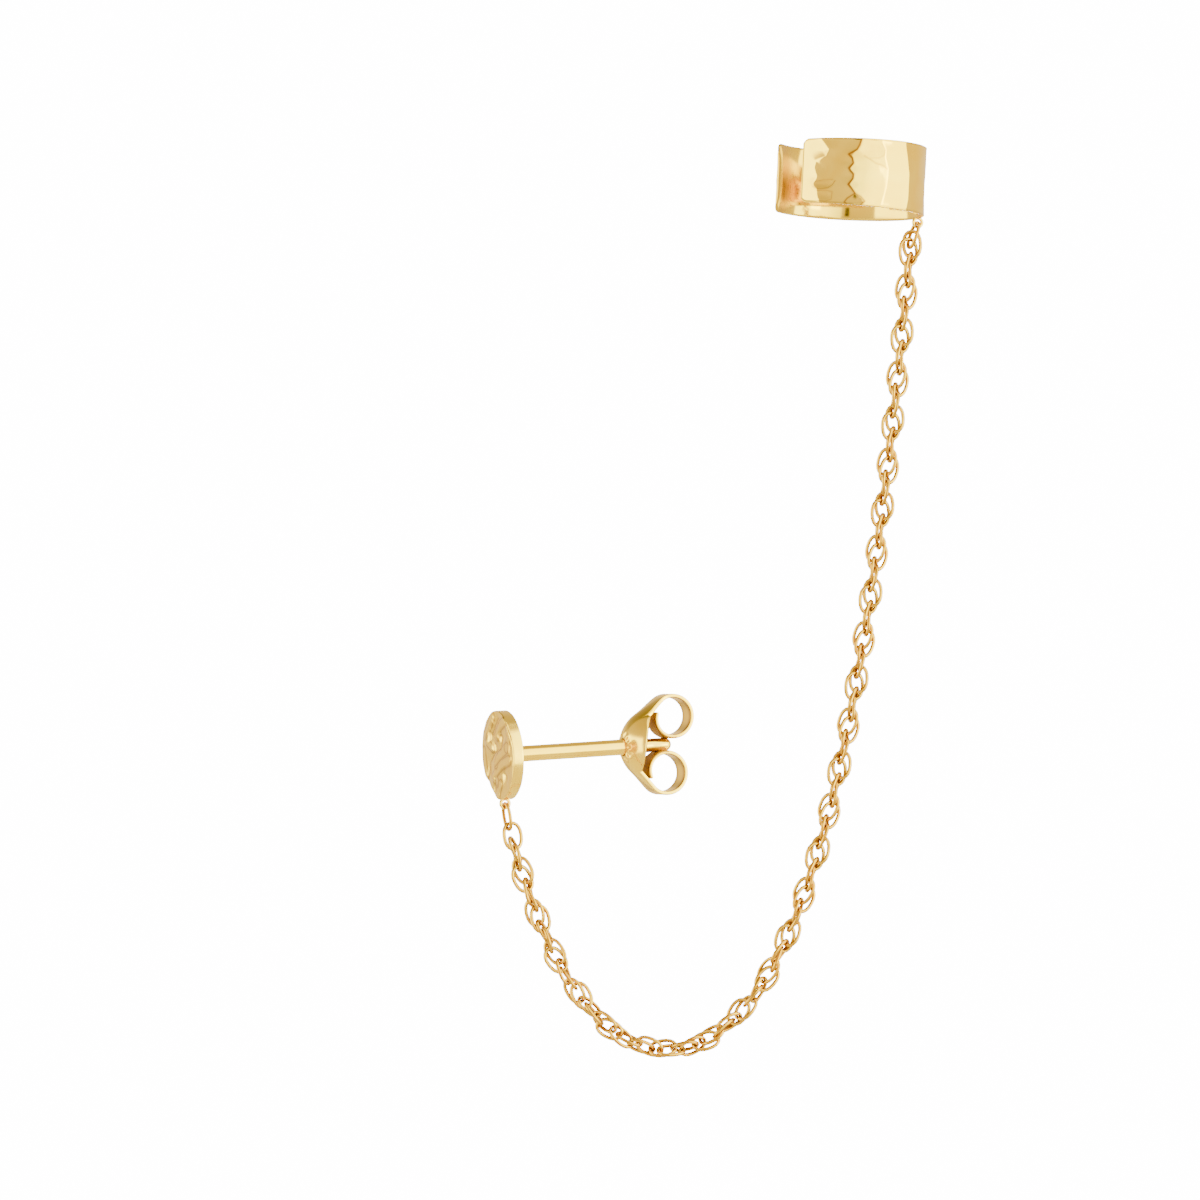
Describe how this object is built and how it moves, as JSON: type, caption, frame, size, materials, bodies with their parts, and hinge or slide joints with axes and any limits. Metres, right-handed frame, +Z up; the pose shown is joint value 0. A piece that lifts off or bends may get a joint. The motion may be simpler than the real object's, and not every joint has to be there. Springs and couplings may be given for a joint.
{
  "type": "ear chain earring",
  "caption": "Disc stud with a butterfly back, joined by a fine hanging rope chain to an open ear cuff.",
  "frame": {"origin": "on the post's axis, midway between the back of the disc and the top of the butterfly back, where the ear lobe sits", "axes": "+Z up, against gravity, +X from the stud towards the cuff, in the plane that the chain hangs in, +Y away from the viewer of the picture"},
  "size_m": [0.028, 0.0115, 0.0575],
  "materials": {
    "gold": "polished gold plating"
  },
  "bodies": {
    "root": {"stud": "gold", "butterfly_back": "gold", "chain_lower": "gold", "chain_upper": "gold", "ear_cuff": "gold"}
  },
  "joints": []
}
